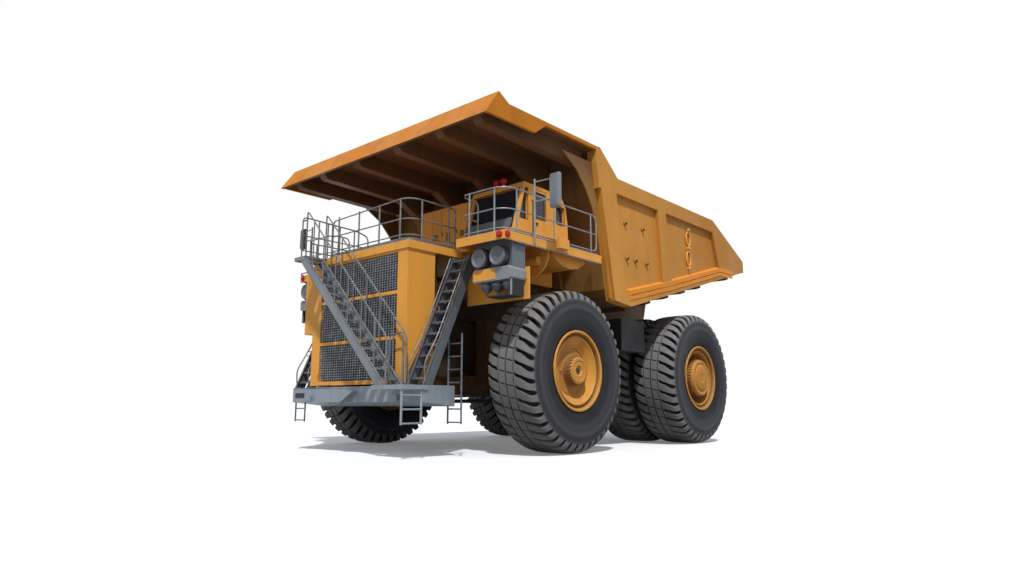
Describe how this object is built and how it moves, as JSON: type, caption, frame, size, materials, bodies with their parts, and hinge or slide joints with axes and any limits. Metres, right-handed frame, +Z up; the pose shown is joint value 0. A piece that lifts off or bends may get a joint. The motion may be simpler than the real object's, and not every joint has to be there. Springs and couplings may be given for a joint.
{
  "type": "mining dump truck",
  "caption": "Very large rigid mining haul truck: canopied tipping body, cab on a high front deck, stairs across the grille, steered front wheels and twin rear wheels.",
  "frame": {"origin": "centre of the bounding box's bottom, on the ground under the truck", "axes": "+Z up, the truck faces -Y, its left (cab) side is +X"},
  "size_m": [10, 14.46, 8.23],
  "materials": {
    "orange_paint": "worn satin, dusty",
    "shaded_paint": "dull, grimy",
    "galvanised_grey": "weathered zinc grey",
    "dark_paint": "dull black",
    "tyre_rubber": "dusty rubber",
    "tinted_glass": "dark tinted",
    "red_lamp": "glossy",
    "bright_steel": "polished rod"
  },
  "bodies": {
    "chassis": {"frame": "shaded_paint", "front_struts": "orange_paint", "rear_axle": "shaded_paint", "engine": "dark_paint", "radiator_house": "orange_paint", "grille": "dark_paint", "bumper": "galvanised_grey", "front_stair": "galvanised_grey", "cab_stair": "galvanised_grey", "right_stair": "galvanised_grey", "centre_deck": "orange_paint", "cab_deck": "orange_paint", "right_deck": "orange_paint", "cabinets": "orange_paint", "cab_shell": "orange_paint", "cab_glass": "tinted_glass", "cab_fittings": "dark_paint", "air_cleaner_left": "galvanised_grey", "air_cleaner_right": "galvanised_grey", "fuel_tank": "dark_paint", "hydraulic_tank": "dark_paint", "cab_rail": "galvanised_grey", "right_rail": "galvanised_grey", "beacons": "red_lamp"},
    "knuckle_left": {"knuckle_left": "shaded_paint"},
    "knuckle_right": {"knuckle_right": "shaded_paint"},
    "tie_rod": {"tie_rod": "dark_paint"},
    "front_wheel_left": {"front_rim_left": "orange_paint", "front_tyre_left": "tyre_rubber"},
    "front_wheel_right": {"front_rim_right": "orange_paint", "front_tyre_right": "tyre_rubber"},
    "rear_wheels_left": {"rear_rims_left": "orange_paint", "rear_tyres_left": "tyre_rubber"},
    "rear_wheels_right": {"rear_rims_right": "orange_paint", "rear_tyres_right": "tyre_rubber"},
    "dump_body": {"body_floor": "shaded_paint", "body_side_left": "orange_paint", "body_side_right": "orange_paint", "front_wall_canopy": "shaded_paint"},
    "hoist_barrel_left": {"hoist_barrel_left": "dark_paint"},
    "hoist_barrel_right": {"hoist_barrel_right": "dark_paint"},
    "hoist_rod_left": {"hoist_rod_left": "bright_steel"},
    "hoist_rod_right": {"hoist_rod_right": "bright_steel"},
    "cab_door": {"cab_door": "orange_paint", "door_glass": "tinted_glass"}
  },
  "joints": [
    {"name": "steer_left", "type": "hinge", "parent": "chassis", "child": "knuckle_left", "pos_m": [2.48, -2.96, 2], "axis": [0, 0, 1], "range_deg": [-32, 32]},
    {"name": "steer_right", "type": "hinge", "parent": "chassis", "child": "knuckle_right", "pos_m": [-2.48, -2.96, 2], "axis": [0, 0, 1], "range_deg": [-32, 32]},
    {"name": "tie_rod_turn", "type": "hinge", "parent": "knuckle_left", "child": "tie_rod", "pos_m": [2.48, -2.11, 1.28], "axis": [0, 0, 1], "range_deg": [-32, 32]},
    {"name": "spin_front_left", "type": "hinge", "parent": "knuckle_left", "child": "front_wheel_left", "pos_m": [3.58, -2.96, 2], "axis": [1, 0, 0], "continuous": true},
    {"name": "spin_front_right", "type": "hinge", "parent": "knuckle_right", "child": "front_wheel_right", "pos_m": [-3.58, -2.96, 2], "axis": [1, 0, 0], "continuous": true},
    {"name": "spin_rear_left", "type": "hinge", "parent": "chassis", "child": "rear_wheels_left", "pos_m": [3.62, 3.46, 2], "axis": [1, 0, 0], "continuous": true},
    {"name": "spin_rear_right", "type": "hinge", "parent": "chassis", "child": "rear_wheels_right", "pos_m": [-3.62, 3.46, 2], "axis": [1, 0, 0], "continuous": true},
    {"name": "dump", "type": "hinge", "parent": "chassis", "child": "dump_body", "pos_m": [0, 5.14, 3.62], "axis": [-1, 0, 0], "range_deg": [0, 45]},
    {"name": "door", "type": "hinge", "parent": "chassis", "child": "cab_door", "pos_m": [3.58, -3.38, 5.8], "axis": [0, 0, 1], "range_deg": [0, 70]},
    {"name": "hoist_tilt_left", "type": "hinge", "parent": "chassis", "child": "hoist_barrel_left", "pos_m": [1.32, 0.04, 1.84], "axis": [1, 0, 0], "range_deg": [0, 4.9]},
    {"name": "hoist_reach_left", "type": "slide", "parent": "hoist_barrel_left", "child": "hoist_rod_left", "axis": [0, 0.6807, 0.7326], "range_m": [0, 2.301]},
    {"name": "hoist_tilt_right", "type": "hinge", "parent": "chassis", "child": "hoist_barrel_right", "pos_m": [-1.32, 0.04, 1.84], "axis": [1, 0, 0], "range_deg": [0, 4.9]},
    {"name": "hoist_reach_right", "type": "slide", "parent": "hoist_barrel_right", "child": "hoist_rod_right", "axis": [0, 0.6807, 0.7326], "range_m": [0, 2.301]}
  ],
  "couplings": [
    {"joint": "steer_right", "follows": "steer_left", "ratio": 1},
    {"joint": "tie_rod_turn", "follows": "steer_left", "ratio": -1},
    {"joint": "hoist_tilt_left", "follows": "dump", "ratio": 0.10795},
    {"joint": "hoist_reach_left", "follows": "dump", "m_per_rad": 2.9278},
    {"joint": "hoist_tilt_right", "follows": "dump", "ratio": 0.10795},
    {"joint": "hoist_reach_right", "follows": "dump", "m_per_rad": 2.9278}
  ]
}
